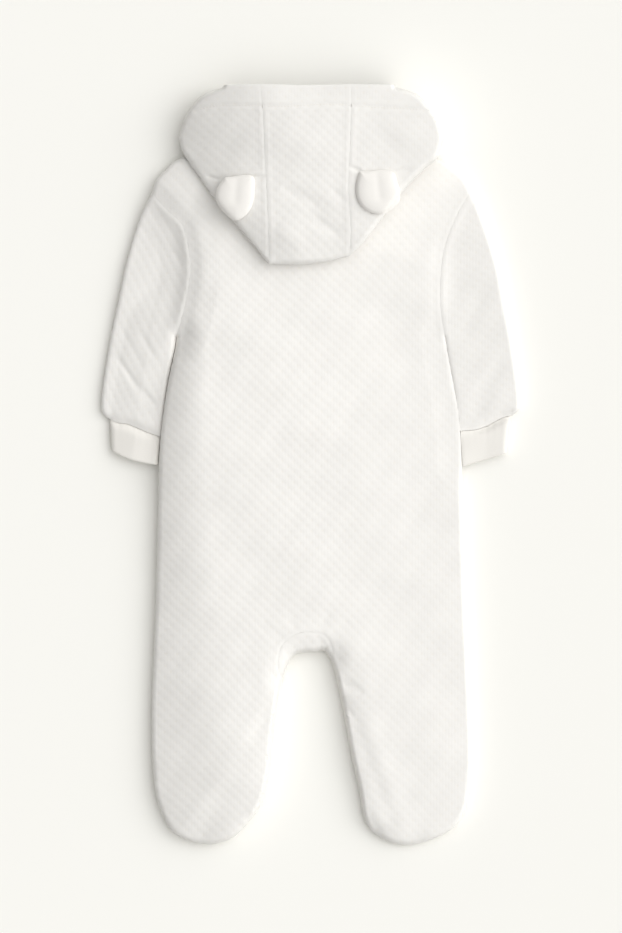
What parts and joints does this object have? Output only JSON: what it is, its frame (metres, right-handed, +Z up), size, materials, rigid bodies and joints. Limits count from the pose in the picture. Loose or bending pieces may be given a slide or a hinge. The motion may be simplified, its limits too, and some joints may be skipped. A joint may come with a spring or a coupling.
{
  "type": "onesie",
  "caption": "Hooded, footed baby all-in-one in ivory diamond-quilted jersey, with bear ears on the hood and plain cuffs, laid flat on its front with the back up.",
  "frame": {"origin": "on the surface that the garment lies on, under the middle of its box", "axes": "+X to the wearer's right sleeve as seen from above its back, +Y from the feet to the hood, +Z up from the surface"},
  "size_m": [0.3655, 0.66, 0.0407],
  "materials": {
    "quilted_jersey": "soft diamond-quilted jersey, matt",
    "cuff_jersey": "plain fine jersey, matt",
    "ear_jersey": "plain fine jersey, matt"
  },
  "bodies": {
    "root": {"back_panel": "quilted_jersey", "front_left": "quilted_jersey", "front_right": "quilted_jersey", "crotch_gusset": "quilted_jersey", "sleeve_left": "quilted_jersey", "sleeve_right": "quilted_jersey", "cuff_left": "cuff_jersey", "cuff_right": "cuff_jersey", "hood_centre": "quilted_jersey", "hood_side_left": "quilted_jersey", "hood_side_right": "quilted_jersey", "ear_left": "ear_jersey", "ear_right": "ear_jersey"}
  },
  "joints": []
}
